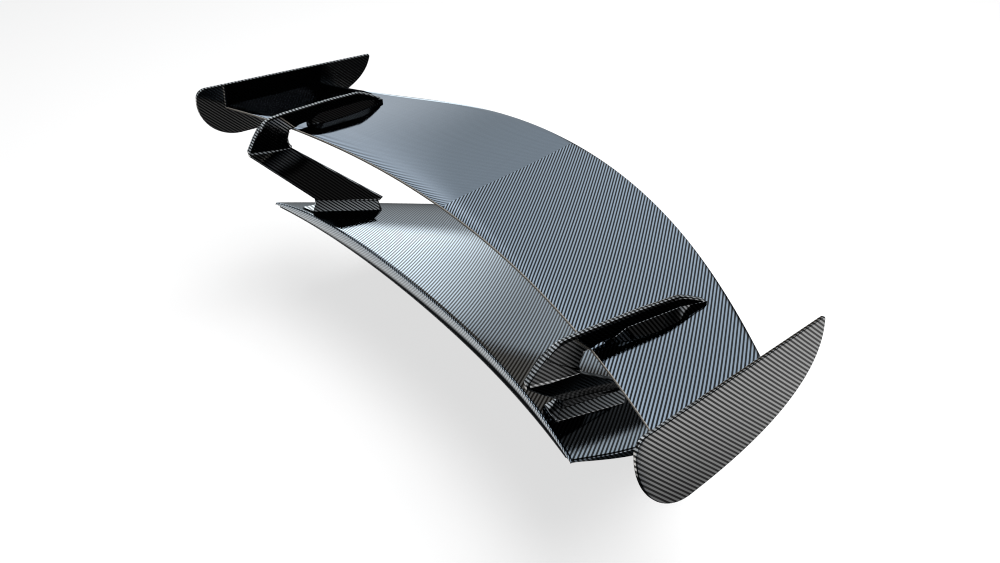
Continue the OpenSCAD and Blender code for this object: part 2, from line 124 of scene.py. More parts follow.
def build(name, verts, faces, uvs, mats, smooth_deg):
    me = bpy.data.meshes.new(name)
    me.from_pydata([(x * MM, y * MM, z * MM) for x, y, z in verts], [], faces)
    layer = me.uv_layers.new(name="weave")
    for loop in me.loops:
        layer.data[loop.index].uv = uvs[loop.vertex_index]
    for m in mats:
        me.materials.append(m)
    bm = bmesh.new()
    bm.from_mesh(me)
    bmesh.ops.recalc_face_normals(bm, faces=bm.faces)
    bm.to_mesh(me)
    bm.free()
    me.polygons.foreach_set("use_smooth", [True] * len(me.polygons))
    me.set_sharp_from_angle(angle=math.radians(smooth_deg))
    ob = bpy.data.objects.new(name, me)
    bpy.context.scene.collection.objects.link(ob)
    return ob


# Shading normals that follow the large flat faces, so that a rounded edge doesn't bend them.
def flat_faces(ob):
    mod = ob.modifiers.new("flat_faces", "WEIGHTED_NORMAL")
    mod.mode = "FACE_AREA"
    mod.weight = 100
    mod.keep_sharp = True
    return ob


# A closed solid through rings of the same length, with strip caps.
def loft(name, rings, uv, mats, smooth_deg):
    n, count = len(rings[0]), len(rings)
    verts = [p for r in rings for p in r]
    faces = []
    for j in range(count - 1):
        for i in range(n):
            a, b = j * n + i, j * n + (i + 1) % n
            faces.append((a, b, b + n, a + n))
    for base in (0, (count - 1) * n):
        for i in range((n + 1) // 2 - 1):
            c = n - 1 - i
            if i + 1 == c - 1:
                faces.append((base + i, base + i + 1, base + c))
            elif i + 1 < c - 1:
                faces.append((base + i, base + i + 1, base + c - 1, base + c))
    return build(name, verts, faces, [uv(*p) for p in verts], mats, smooth_deg)


def settle(ob, slot, *replaced):
    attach(ob, "root")
    if replaced:
        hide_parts(*replaced)


# ---------------------------------------------------------------- materials
def new_material(name):
    m = bpy.data.materials.new(name)
    m.use_nodes = True
    nt = m.node_tree
    nt.nodes.clear()
    out = nt.nodes.new("ShaderNodeOutputMaterial")
    sh = nt.nodes.new("ShaderNodeBsdfPrincipled")
    nt.links.new(sh.outputs[0], out.inputs[0])
    return m, nt, sh


def math_node(nt, op, a, b=None, clamp=False):
    n = nt.nodes.new("ShaderNodeMath")
    n.operation = op
    n.use_clamp = clamp
    for k, v in enumerate((a, b)):
        if v is None:
            continue
        if isinstance(v, (int, float)):
            n.inputs[k].default_value = v
        else:
            nt.links.new(v, n.inputs[k])
    return n.outputs[0]


def mix_color(nt, fac, a, b, blend="MIX"):
    n = nt.nodes.new("ShaderNodeMix")
    n.data_type = "RGBA"
    n.blend_type = blend
    for key, v in ((0, fac), (6, a), (7, b)):
        if isinstance(v, (int, float)):
            n.inputs[key].default_value = v
        elif isinstance(v, tuple):
            n.inputs[key].default_value = (*v, 1)
        else:
            nt.links.new(v, n.inputs[key])
    return n.outputs[2]


RIB_EDGE = (0.4, 0.68)  # where a rib turns from the dark painted shade to the light painted sheen
RIB_SHARE = 0.94        # how much of the pattern the ribs make, and the single tows the rest
EVEN_TONE = 0.48        # the tone that a surface takes where its painted sheen contrast is flattened


# Clear-coated 2x2 twill in ribs, with painted sheen: the warp tows are painted light and the weft tows dark,
# standing in for the way each direction catches the light, though the tows are alike in colour.
def carbon(name, light, dark, rough=0.06, coat=0.75, painted_contrast=None):
    m, nt, sh = new_material(name)
    uv = nt.nodes.new("ShaderNodeUVMap")
    uv.uv_map = "weave"
    sep = nt.nodes.new("ShaderNodeSeparateXYZ")
    nt.links.new(uv.outputs[0], sep.inputs[0])
    a, b = sep.outputs[0], sep.outputs[1]
    ia, ib = math_node(nt, "FLOOR", a), math_node(nt, "FLOOR", b)
    fa, fb = math_node(nt, "FRACT", a), math_node(nt, "FRACT", b)
    cell = math_node(nt, "FLOORED_MODULO", math_node(nt, "ADD", ia, ib), 4)
    warp = math_node(nt, "LESS_THAN", cell, 1.5)
    weft = math_node(nt, "SUBTRACT", 1.0, warp)
    # each tow is rounded across its width, in its bump and in a painted shade
    across_warp = math_node(nt, "SINE", math_node(nt, "MULTIPLY", fb, math.pi))
    across_weft = math_node(nt, "SINE", math_node(nt, "MULTIPLY", fa, math.pi))
    across = math_node(nt, "ADD", math_node(nt, "MULTIPLY", across_warp, warp),
                       math_node(nt, "MULTIPLY", across_weft, weft))
    # the ribs that the warp floats make
    rib = math_node(nt, "ADD", 0.5, math_node(nt, "MULTIPLY", 0.5, math_node(
        nt, "SINE", math_node(nt, "MULTIPLY", math_node(nt, "ADD", a, b), math.pi / 2))))
    edge = nt.nodes.new("ShaderNodeMapRange")
    edge.interpolation_type = "SMOOTHSTEP"
    edge.inputs["From Min"].default_value = RIB_EDGE[0]
    edge.inputs["From Max"].default_value = RIB_EDGE[1]
    nt.links.new(rib, edge.inputs["Value"])
    top = math_node(nt, "ADD", math_node(nt, "MULTIPLY", edge.outputs[0], RIB_SHARE),
                    math_node(nt, "MULTIPLY", warp, 1 - RIB_SHARE))
    # painted light: the painted sheen contrast between the tows is scaled here towards EVEN_TONE
    if painted_contrast:
        spread = math_node(nt, "SUBTRACT", top, EVEN_TONE)
        top = math_node(nt, "ADD", EVEN_TONE, math_node(nt, "MULTIPLY", spread, painted_contrast(nt)))
    # a little difference from tow to tow
    tow = nt.nodes.new("ShaderNodeTexWhiteNoise")
    tow.noise_dimensions = "1D"
    nt.links.new(math_node(nt, "ADD", math_node(nt, "MULTIPLY", ib, warp), math_node(
        nt, "MULTIPLY", math_node(nt, "ADD", ia, 517.0), weft)), tow.inputs["W"])
    shade = math_node(nt, "ADD", 0.93, math_node(nt, "MULTIPLY", tow.outputs[0], 0.07))
    # painted shade: each tow is darker towards its edges and lighter along its middle, following its
    # rounding, and this multiplies the random tow tone
    tow_rounding_shade = math_node(nt, "ADD", 0.9, math_node(nt, "MULTIPLY", across, 0.12))
    tow_tone_and_shade = math_node(nt, "MULTIPLY", shade, tow_rounding_shade)
    # painted sheen: the warp ribs take the light tone, and the weft takes the dark painted shade
    col = mix_color(nt, top, dark, light)
    gray = nt.nodes.new("ShaderNodeCombineColor")
    for k in range(3):
        nt.links.new(tow_tone_and_shade, gray.inputs[k])
    nt.links.new(mix_color(nt, 1.0, col, gray.outputs[0], "MULTIPLY"), sh.inputs["Base Color"])
    bump = nt.nodes.new("ShaderNodeBump")
    bump.inputs["Strength"].default_value = 0.03
    bump.inputs["Distance"].default_value = 0.0003
    crest = math_node(nt, "ADD", 0.5, math_node(nt, "MULTIPLY", top, 0.5))
    nt.links.new(math_node(nt, "MULTIPLY", across, crest), bump.inputs["Height"])
    nt.links.new(bump.outputs[0], sh.inputs["Normal"])
    sh.inputs["Metallic"].default_value = 1.0
    sh.inputs["Roughness"].default_value = rough
    sh.inputs["Specular IOR Level"].default_value = 0.1
    sh.inputs["Coat Weight"].default_value = coat
    sh.inputs["Coat Roughness"].default_value = 0.025
    sh.inputs["Coat IOR"].default_value = 1.5
    return m


# A plain material with a fine noise in its colour, roughness and surface.
def plain(name, color, rough, metallic=0.0, scale=400.0, vary=0.15, bump=0.02, stretch=(1, 1, 1)):
    m, nt, sh = new_material(name)
    tc = nt.nodes.new("ShaderNodeTexCoord")
    mp = nt.nodes.new("ShaderNodeMapping")
    mp.inputs["Scale"].default_value = stretch
    nt.links.new(tc.outputs["Object"], mp.inputs[0])
    noise = nt.nodes.new("ShaderNodeTexNoise")
    noise.inputs["Scale"].default_value = scale
    noise.inputs["Detail"].default_value = 4
    nt.links.new(mp.outputs[0], noise.inputs["Vector"])
    dark = tuple(c * (1 - vary) for c in color)
    bright = tuple(min(1, c * (1 + vary)) for c in color)
    nt.links.new(mix_color(nt, noise.outputs[0], dark, bright), sh.inputs["Base Color"])
    nt.links.new(math_node(nt, "ADD", rough - 0.06, math_node(nt, "MULTIPLY", noise.outputs[0], 0.12)),
                 sh.inputs["Roughness"])
    b = nt.nodes.new("ShaderNodeBump")
    b.inputs["Strength"].default_value = bump * 10
    b.inputs["Distance"].default_value = 0.0002
    nt.links.new(noise.outputs[0], b.inputs["Height"])
    nt.links.new(b.outputs[0], sh.inputs["Normal"])
    sh.inputs["Metallic"].default_value = metallic
    return m


LEFT_CONTRAST = 0.05    # painted sheen contrast between tows on the blade's left half
NOSE_CONTRAST = 0.8     # and the painted sheen contrast there along the leading edge
NOSE_FADE = (4.0, 30.0)  # distance behind the leading edge over which one becomes the other, in mm


def painted_sheen_contrast(nt):
    """Painted light: full painted sheen contrast between tows on the right half, and little on the left
    behind the nose, for how the light falls on each half.
    """
    tc = nt.nodes.new("ShaderNodeTexCoord")
    sep = nt.nodes.new("ShaderNodeSeparateXYZ")
    nt.links.new(tc.outputs["Object"], sep.inputs[0])
    x, y = sep.outputs[0], sep.outputs[1]
    right = math_node(nt, "GREATER_THAN", x, 0.0)
    bend = LEAD_SWEEP / (HALF * HALF) / MM
    sweep = math_node(nt, "MULTIPLY", math_node(nt, "MULTIPLY", x, x), bend)
    lead = math_node(nt, "SUBTRACT", LEAD_MID * MM, sweep)
    nose = nt.nodes.new("ShaderNodeMapRange")
    nose.interpolation_type = "SMOOTHSTEP"
    nose.inputs["From Min"].default_value = NOSE_FADE[0] * MM
    nose.inputs["From Max"].default_value = NOSE_FADE[1] * MM
    nose.inputs["To Min"].default_value = NOSE_CONTRAST
    nose.inputs["To Max"].default_value = LEFT_CONTRAST
    nt.links.new(math_node(nt, "SUBTRACT", y, lead), nose.inputs["Value"])
    return math_node(nt, "MAXIMUM", right, nose.outputs[0])


# the light tones are painted sheen on the warp tows, and the dark tones are painted shade on the weft tows
BLADE = carbon("carbon_blade", (0.64, 0.76, 0.90), (0.002, 0.003, 0.005), painted_contrast=painted_sheen_contrast)
PLATE = carbon("carbon_plate", (0.72, 0.72, 0.72), (0.001, 0.001, 0.001), coat=0.5)
NECK = carbon("carbon_neck", (0.70, 0.71, 0.72), (0.002, 0.002, 0.002))
DECK = carbon("carbon_deck", (0.66, 0.76, 0.86), (0.002, 0.003, 0.005))
BEAD = plain("bond_bead", (0.27, 0.25, 0.22), 0.45, scale=900, bump=0.04)
LAMINATE = plain("glass_laminate", (0.035, 0.036, 0.04), 0.55, scale=700, vary=0.35)
FOAM = plain("foam", (0.52, 0.48, 0.38), 0.9, scale=1500, vary=0.2, bump=0.08)
ALLOY = plain("alloy", (0.66, 0.67, 0.68), 0.34, 1.0, scale=300, vary=0.06, stretch=(1, 14, 1))
STEEL = plain("steel", (0.62, 0.62, 0.60), 0.3, 1.0, scale=500, vary=0.08)
SEAL = plain("seal", (0.022, 0.022, 0.023), 0.8, scale=1200, vary=0.3, bump=0.06)
# painted light: a lighter copy of the seal, for the lit front face of the deck's front edge strip
LIT_SEAL = plain("seal_painted_light", (0.50, 0.50, 0.50), 0.7, scale=900, vary=0.08, bump=0.03)
SLOT_MATERIAL = {"carbon_blade": BLADE, "carbon_plate": PLATE, "carbon_neck": NECK, "carbon_deck": DECK,
                 "bond_bead": BEAD, "glass_laminate": LAMINATE, "foam": FOAM, "alloy": ALLOY,
                 "steel": STEEL, "seal": SEAL}

# ---------------------------------------------------------------- blade
def lead_y(x):
    return LEAD_MID - LEAD_SWEEP * (x / HALF) ** 2


def trail_y(x):
    u = x / HALF
    return 362 - 161 * u ** 2 - 56 * u ** 4


def lead_z(x):
    return 224 - 7 * (x / HALF) ** 4


def trail_z(x):
    return 238 - 43 * math.sin(math.radians(129.6 * (x / HALF) ** 2))


def plate_inner_x(y, z):
    return PX - PLATE_T / 2 / math.cos(CANT) - math.tan(CANT) * (
        math.sin(PITCH) * (y - PY) + math.cos(PITCH) * (z - PZ))


def blade_pt(x, s, h):
    """A point of the section at x: s along the chord and h above it, drawn to the endplate at a tip."""
    ly, lz = lead_y(x), lead_z(x)
    dy, dz = trail_y(x) - ly, trail_z(x) - lz
    c = math.hypot(dy, dz)
    y, z = ly + s * dy - h * dz / c, lz + s * dz + h * dy / c
    end = clamp01((abs(x) - 0.9 * HALF) / (0.1 * HALF))
    return (x + math.copysign(end * (plate_inner_x(y, z) - 0.2 - HALF), x), y, z)


def chord(x):
    return math.hypot(trail_y(x) - lead_y(x), trail_z(x) - lead_z(x))


def upper_h(x, s):
    return chord(x) * (0.085 * math.sqrt(s) * (1 - s) - 0.11 * s * (1 - s))


def lower_h(x, s):
    return -chord(x) * (0.13 * math.sqrt(s) * (1 - s) + 0.06 * s * (1 - s)) - TRAIL * s


def joint_h(s):
    return -TRAIL / 2 * s


def under_upper(x, s):
    return max(upper_h(x, s) - SKIN, joint_h(s))


def over_lower(x, s):
    return min(lower_h(x, s) + SKIN, joint_h(s))


def chord_s(i, n):
    return SEAM_S + (1 - SEAM_S) * (i / n) ** 1.8


def blade_top(x, y):
    s = clamp01((y - lead_y(x)) / (trail_y(x) - lead_y(x)))
    return blade_pt(x, s, upper_h(x, s))[2]


# Two mirrored lays of twill that meet in a chevron on the centre line.
def blade_uv(x, y, z):
    u = abs(x) / HALF
    return tows(abs(x), y * (1 - 0.14 * u * u), 0.1575, 0.1065)


SPAN_STEPS = 200
CHORD_STEPS = 44
span = [HALF * (2 * j / SPAN_STEPS - 1) for j in range(SPAN_STEPS + 1)]
svals = [chord_s(i, CHORD_STEPS) for i in range(CHORD_STEPS + 1)]


def rounded_tail(x, top):
    """One half of the rounded lip at the trailing edge."""
    pts = []
    r = TRAIL / 2
    for k in range(1, 4):
        a = math.radians(lerp(90, 0, k / 3)) if top else math.radians(lerp(-90, 0, k / 3))
        pts.append(blade_pt(x, 1 + r * math.cos(a) * 0.9 / chord(x), -r + r * math.sin(a)))
    return pts


def upper_ring(x):
    return ([blade_pt(x, s, upper_h(x, s)) for s in svals] + rounded_tail(x, True)
            + [blade_pt(x, s, under_upper(x, s)) for s in reversed(svals)])


def lower_ring(x):
    return ([blade_pt(x, s, over_lower(x, s)) for s in svals] + list(reversed(rounded_tail(x, False)))
            + [blade_pt(x, s, lower_h(x, s)) for s in reversed(svals)])


top = loft("blade_top_shell", [upper_ring(x) for x in span], blade_uv, [BLADE], 40)
settle(top, "carbon_blade", "blade_upper_skin")
low = loft("blade_bottom_shell", [lower_ring(x) for x in span], blade_uv, [BLADE], 40)
settle(low, "carbon_blade", "blade_lower_skin")


def seam_ring(x):
    # round the nose, from the lower skin to the upper one
    pts = [blade_pt(x, SEAM_S, lower_h(x, SEAM_S) + 0.02)]
    h1, h0 = upper_h(x, SEAM_S), lower_h(x, SEAM_S)
    for k in range(9):
        a = math.pi * k / 8
        s = SEAM_S * (1 - math.sin(a)) - 0.0006 * math.sin(a)
        pts.append(blade_pt(x, max(s, 0.0), lerp(h0, h1, 0.5 - 0.5 * math.cos(a))))
    return pts


bead = loft("leading_edge_bead", [seam_ring(x) for x in span], blade_uv, [BEAD], 60)
settle(bead, "bond_bead", "leading_edge_seam")

# ---------------------------------------------------------------- endplates
def plate_outline():
    """The curved edge from front to rear, then as many points back along the straight top."""
    low_edge = (bow(22, PTOP - 21, 20.5, 21, 2, 90, 180, 12)
                + bow(LOW_S, -28, LOW_S - 1.5, DROP - 28, 1.87, 180, 269, 24)
                + bow(LOW_S, 0, PLATE_LEN - LOW_S, DROP, 2.4, 270, 357, 44)
                + bow(PLATE_LEN - 6, -7, 6, 6, 2, 0, 90, 8))
    count, gap = len(low_edge), 0.3
    first, last = low_edge[0], low_edge[-1]
    top_edge = []
    for k, (s, d) in enumerate(low_edge):
        s = min(max(s, first[0] + gap * (k + 1)), last[0] - gap * (count - k))
        top_edge.append((s, lerp(first[1], last[1], (s - first[0]) / (last[0] - first[0]))))
    return low_edge + list(reversed(top_edge))


def plate_point(t, s, d):
    """t across, s rearward, d upward in the plate's own plane."""
    x, z = t * math.cos(CANT) - d * math.sin(CANT), t * math.sin(CANT) + d * math.cos(CANT)
    y2 = s * math.cos(PITCH) + z * math.sin(PITCH)
    z2 = -s * math.sin(PITCH) + z * math.cos(PITCH)
    return (PX + x, PY + y2, PZ + z2)


def plate_uv(s, d):
    return tows(s * (1 - s / 4200), d, 0.131, 0.1275)


def edge_offsets(t, r, steps):
    """Rows (inset, height) of a slab's rounded edge, from one face to the other."""
    rows = []
    for k in range(steps + 1):
        a = math.pi / 2 * k / steps
        rows.append((r - r * math.sin(a), t / 2 - r + r * math.cos(a)))
    return rows + [(i, -h) for i, h in reversed(rows)]


def inset_outline(pts, d):
    """The outline moved sideways by d, to the left of its direction."""
    res, n = [], len(pts)
    for i in range(n):
        a, b, c = Vector(pts[i - 1]), Vector(pts[i]), Vector(pts[(i + 1) % n])
        u, v = (b - a).normalized(), (c - b).normalized()
        m = Vector((-(u.y + v.y), u.x + v.x))
        res.append(tuple(b + m * (2 * d / m.dot(m))))
    return res


def slab(name, outline, place, uv, mats, t, r, steps, side):
    """A flat plate with its edge rounded all the way round."""
    rows = edge_offsets(t, r, steps)
    verts, faces, uvs = [], [], []
    n = len(outline)
    area = sum(outline[i - 1][0] * outline[i][1] - outline[i][0] * outline[i - 1][1] for i in range(n))
    sign = 1 if area > 0 else -1
    for inset, h in rows:
        for (s, d) in (inset_outline(outline, sign * inset) if inset > 1e-6 else outline):
            x, y, z = place(h, s, d)
            verts.append((x * side, y, z))
            uvs.append(uv(s, d))
    for j in range(len(rows) - 1):
        for i in range(n):
            a, b = j * n + i, j * n + (i + 1) % n
            faces.append((a, b, b + n, a + n))
    for base in (0, (len(rows) - 1) * n):
        for i in range(n // 2 - 1):
            c = n - 1 - i
            faces.append((base + i, base + i + 1, base + c - 1, base + c))
    return build(name, verts, faces, uvs, mats, 30)


for side, word in ((1, "right"), (-1, "left")):
    panel = slab("endplate_panel_" + word, plate_outline(), plate_point, plate_uv, [PLATE], PLATE_T, 1.6, 4,
                 side)
    settle(flat_faces(panel), "carbon_plate", "endplate_" + word)

# ---------------------------------------------------------------- necks
# side views, as (y, z)
ELBOW = (-143.0, 209.0)
CREASE_IN = (-44.0, 188.5)
CREST = [(-48, 271), (62, 260), (145, 248), (168, 236.5), (204, 213.5)]
STRUT_REAR = (141.0, 6.0)


def neck_mid(y):
    return NECK_X + TOE * (y + 60)


def foot_mid(y):
    return FOOT_X + 0.04 * (y - FOOT_Y0)


def deck_z(x, y):
    return DECK_DATUM - SLOPE * y + CROWN * (1 - clamp01(abs(x) / DECK_HW) ** 4)


def foot_top(y):
    return deck_z(foot_mid(y), y) + FOOT_H


def foot_rim(y, inner):
    """Where a side of the strut meets the top of the foot: level inboard, and rising to the rear outboard."""
    t = (y - FOOT_Y0) / (FOOT_Y1 - FOOT_Y0)
    return foot_top(y) if inner else deck_z(foot_mid(y), y) + lerp(FOOT_H_FRONT, FOOT_H, t)


def arm_edges():
    ys = [-28 + 10 * k for k in range(24)]
    top_pts = [ELBOW, (-144, 222), (-126, 246), (-109, 264)] + bow(-76, 253, 34, 19.5, 2, 161, 92, 5)
    top_pts += [CREST[0]] + [(y, lookup(y, CREST)) for y in ys]
    bottom = [CREASE_IN] + bow(-36, 209, 12, 19, 2, 240, 120, 8) + [(-42, 230)]
    bottom += [(y, blade_top(neck_mid(y), y) + SADDLE_H + 0.2) for y in ys]
    return top_pts, bottom


def neck_half(name, side, inner):
    """Half the thickness of a neck, with its outer rim rounded."""
    up, down = arm_edges()
    outline = up + list(reversed(down))
    n_arm = len(outline)
    low_pts = [STRUT_REAR, (FOOT_Y1, foot_rim(FOOT_Y1, inner))]
    if not inner:
        low_pts.append((FOOT_Y0, foot_rim(FOOT_Y0, inner)))
    low_pts.append((FOOT_Y0, foot_top(FOOT_Y0)))
    full = outline + low_pts
    n = len(full)
    area = sum(full[i - 1][0] * full[i][1] - full[i][0] * full[i - 1][1] for i in range(n))
    sign = 1 if area > 0 else -1
    t, r = NECK_T / 2, 4.4
    rows = [(0.25, 0.05), (0.0, 0.45)]
    for k in range(6):
        a = math.pi / 2 * k / 5
        rows.append((r - r * math.cos(a), t - r + r * math.sin(a)))
    verts, uvs, faces = [], [], []
    for inset, h in rows:
        pts = inset_outline(full, sign * inset) if inset > 1e-6 else full
        for k, (y, z) in enumerate(pts):
            base = foot_mid(y) if k >= n_arm else neck_mid(y)
            # the crease keeps its line as the rim is rounded
            if k in (0, n_arm - 1):
                y, z = (Vector(full[k]).lerp(Vector(full[n_arm - 1 - k]), inset * 1.3 / 101.0))
                base = neck_mid(y)
            if k >= n_arm:
                z = full[k][1] if k != n_arm else z
            verts.append(((base + (-h if inner else h)) * side, y, z))
            uvs.append(tows(y, z, 0.137, 0.117))
    for j in range(len(rows) - 1):
        for i in range(n):
            a, b = j * n + i, j * n + (i + 1) % n
            faces.append((a, b, b + n, a + n))
    for base in (0, (len(rows) - 1) * n):
        for i in range(n_arm // 2 - 1):
            c = n_arm - 1 - i
            faces.append((base + i, base + i + 1, base + c - 1, base + c))
        elbow = base
        crease = base + n_arm - 1
        strut_rear = base + n_arm
        foot_rear = base + n_arm + 1
        fold = base + n - 1
        faces += [(crease, strut_rear, fold), (crease, fold, elbow), (strut_rear, foot_rear, fold)]
        if not inner:
            faces.append((foot_rear, foot_rear + 1, fold))
    return build(name, verts, faces, uvs, [NECK], 32)


for side, word in ((1, "right"), (-1, "left")):
    outboard = flat_faces(neck_half("neck_outboard_half_" + word, side, False))
    inboard = flat_faces(neck_half("neck_inboard_half_" + word, side, True))
    settle(outboard, "carbon_neck", "neck_outer_shell_" + word)
    settle(inboard, "carbon_neck", "neck_inner_shell_" + word)

# ---------------------------------------------------------------- saddles
# half width and height along an arm, as (y, value)
PLAN = [(6, 6.6), (14, 8), (28, 14), (42, 18), (90, 20), (130, 16.5), (165, 11.5), (208, 6.4)]
CLIMB = [(6, 7.4), (14, 8.6), (36, 19), (150, 19), (208, 7.8)]


def saddle(name, side):
    steps = 90
    hw = NECK_T / 2 + 0.15
    rings = []
    for j in range(steps + 1):
        y = lerp(6, 208, j / steps)
        x, w, h = neck_mid(y), lookup(y, PLAN), lookup(y, CLIMB)
        z = blade_top(x, y)
        ring = [(x + a * w, y, blade_top(x + a * w, y) + 0.3) for a in (-1, -0.5, 0, 0.5, 1)]
        ring += [(x + w + 0.1, y, blade_top(x + w, y) + 1.0), (x + w - 0.3, y, blade_top(x + w, y) + 1.9),
                 (x + hw + 0.5, y, z + h - 0.2), (x + hw, y, z + h), (x + hw, y, z + SADDLE_H),
                 (x - hw, y, z + SADDLE_H), (x - hw, y, z + h), (x - hw - 0.5, y, z + h - 0.2),
                 (x - w + 0.3, y, blade_top(x - w, y) + 1.9), (x - w - 0.1, y, blade_top(x - w, y) + 1.0)]
        rings.append([(px * side, py, pz) for px, py, pz in ring])
    return loft(name, rings, lambda x, y, z: tows(y, z + abs(x) * 0.55, 0.137, 0.117), [NECK], 24)


for side, word in ((1, "right"), (-1, "left")):
    settle(flat_faces(saddle("saddle_" + word, side)), "carbon_neck", "neck_saddle_" + word)

# ---------------------------------------------------------------- feet
# plan of a foot's base, as (x, y)
PLAN_F = [(367, -50), (404, -57), (405, 115), (391, 135), (384, 124)]


def foot(name, side):
    h = NECK_T / 2
    cap = [(foot_mid(FOOT_Y0) - h, FOOT_Y0), (foot_mid(FOOT_Y0) + h, FOOT_Y0),
           (foot_mid(FOOT_Y1) + h, FOOT_Y1 - 6), (foot_mid(FOOT_Y1) + 1, FOOT_Y1),
           (foot_mid(FOOT_Y1) - h, FOOT_Y1 - 4)]
    inner_side = (True, False, False, False, True)
    rings = [[(x, y, deck_z(x, y) + 1) for x, y in PLAN_F], [(x, y, deck_z(x, y) + 2.5) for x, y in PLAN_F],
             [(x, y, foot_rim(y, i) + 0.4) for (x, y), i in zip(cap, inner_side)]]
    rings = [[(x * side, y, z) for x, y, z in r] for r in rings]
    ob = loft(name, rings, lambda x, y, z: tows(y, z + abs(x) * 0.1, 0.137, 0.117), [NECK], 20)
    bev = ob.modifiers.new("rounded_edges", "BEVEL")
    bev.width = 0.0016
    bev.segments = 3
    bev.limit_method = "ANGLE"
    bev.angle_limit = math.radians(20)
    return ob


for side, word in ((1, "right"), (-1, "left")):
    settle(flat_faces(foot("foot_block_" + word, side)), "carbon_neck", "neck_foot_" + word)


# ---------------------------------------------------------------- deck panel
def deck_edge_y(xi):
    return -36 - 53 * xi * xi


def deck_back_y(xi):
    return DECK_REAR - 14 * xi ** 8


def deck_w(y):
    return lerp(DECK_FHW, DECK_HW, math.sin(math.radians(90 * clamp01((y + 90) / 180))))


def deck_pt(xi, eta, drop):
    """xi runs from -1 to 1 across, eta from 0 at the front edge to 1 at the rear, drop is downward."""
    y = lerp(deck_edge_y(xi), deck_back_y(xi), eta)
    x = xi * deck_w(y)
    return (x, y, deck_z(x, y) - drop)


def front_h(xi):
    return 35 - 29 * xi ** 4


def side_h(eta):
    return min(19.0, 4 + 46 * eta)


def deck_uv(x, y, z):
    fall = deck_z(x, y) - z
    return tows(x, y * (1 - x / 2150) - fall * 0.9, 0.1505, 0.1085)


DECK_STEPS = 60
ROLL_STEPS = 5
LIP_POINTS = 2
OUTER_POINTS = LIP_POINTS + 2 * (ROLL_STEPS + 1) + DECK_STEPS


def deck_ring(xi, wall):
    """A section from front to rear and back underneath. A wall section is solid down to the rim."""
    n = DECK_STEPS
    ln = deck_back_y(xi) - deck_edge_y(xi)
    r = 4.0
    pts = [deck_pt(xi, 1.5 / ln, front_h(xi)), deck_pt(xi, 0, front_h(xi) - 1.5)]
    for k in range(ROLL_STEPS + 1):
        a = math.radians(90 * k / ROLL_STEPS)
        pts.append(deck_pt(xi, r * (1 - math.cos(a)) / ln, r * (1 - math.sin(a))))
    pts += [deck_pt(xi, lerp(r / ln, 1 - r / ln, i / n), 0) for i in range(1, n)]
    for k in range(ROLL_STEPS + 1):
        a = math.radians(90 - 90 * k / ROLL_STEPS)
        pts.append(deck_pt(xi, 1 - r * (1 - math.cos(a)) / ln, r * (1 - math.sin(a))))
    pts += [deck_pt(xi, 1, REAR_H)]
    inner = [deck_pt(xi, 0.992, REAR_H), deck_pt(xi, 0.992, REAR_H - 0.2 if wall else DECK_T)]
    for i in range(n - 1, 0, -1):
        e = i / n
        inner.append(deck_pt(xi, e, lerp(side_h(e), REAR_H, e ** 6) if wall else DECK_T))
    inner += [deck_pt(xi, 0.008, front_h(xi) - 0.2 if wall else DECK_T), deck_pt(xi, 0.008, front_h(xi))]
    return pts + inner


# sections across the panel: a solid wall at each side, and the open underside between them
WALL_XI = (0.9930, 0.9955, 0.998, 0.9995, 1.0)
INNER_XI = 0.9928
ACROSS = 160
sections = [(-xi, True) for xi in reversed(WALL_XI)]
sections += [(INNER_XI * (2 * j / ACROSS - 1), False) for j in range(ACROSS + 1)]
sections += [(xi, True) for xi in WALL_XI]


def deck_full_ring(xi, wall):
    """A section with the side edge rounded, over the last 3 mm or so at each side."""
    pts = deck_ring(xi, wall)
    out = (1 - abs(xi)) * 480
    r = 3.0
    if out < r:
        drop = r - math.sqrt(max(0.0, r * r - (r - out) ** 2))
        rolled = range(LIP_POINTS, OUTER_POINTS)
        pts = [(x, y, z - drop if k in rolled else z) for k, (x, y, z) in enumerate(pts)]
    return pts


deck = loft("deck_shell", [deck_full_ring(xi, w) for xi, w in sections], deck_uv, [DECK], 38)
settle(deck, "carbon_deck", "deck_skin")


STRIP_XI = 0.97
STRIP_T = 3.0
STRIP_SIDES = 12


def squarish(c):
    """Turns a cosine or sine into a share from 0 to 1, for a square section with round corners."""
    return 0.5 - 0.5 * math.copysign(abs(c) ** 0.5, c)


def deck_strip(name, eta0, eta1, depth, mat):
    """An edge strip under the rim, whose height at xi is depth(xi)."""
    strip_rings = []
    for j in range(ACROSS + 1):
        xi = STRIP_XI * (j / (ACROSS / 2) - 1)
        d = depth(xi) + 0.05
        ring = []
        for k in range(STRIP_SIDES):
            a = 2 * math.pi * k / STRIP_SIDES
            e = lerp(eta0, eta1, squarish(math.cos(a)))
            ring.append(deck_pt(xi, e, d + STRIP_T * squarish(math.sin(a))))
        strip_rings.append(ring)
    return loft(name, strip_rings, deck_uv, [mat], 60)


# the front strip is the seal in its lighter painted light copy, and the rear strip is the same seal in its
# own dark tone
front_seal = deck_strip("front_edge_seal", 0.0, 0.012, front_h, LIT_SEAL)
rear_seal = deck_strip("rear_edge_seal", 0.988, 1.0, lambda xi: REAR_H, SEAL)
settle(front_seal, "seal", "deck_seal")
settle(rear_seal, "seal")

# ---------------------------------------------------------------- carried-over parts
for entry in frame["record"]["subparts"]:
    ob = nodes.get(entry["node"])
    if ob is None:
        continue
    ob.data.materials.clear()
    ob.data.materials.append(SLOT_MATERIAL[entry["material_slot"]])

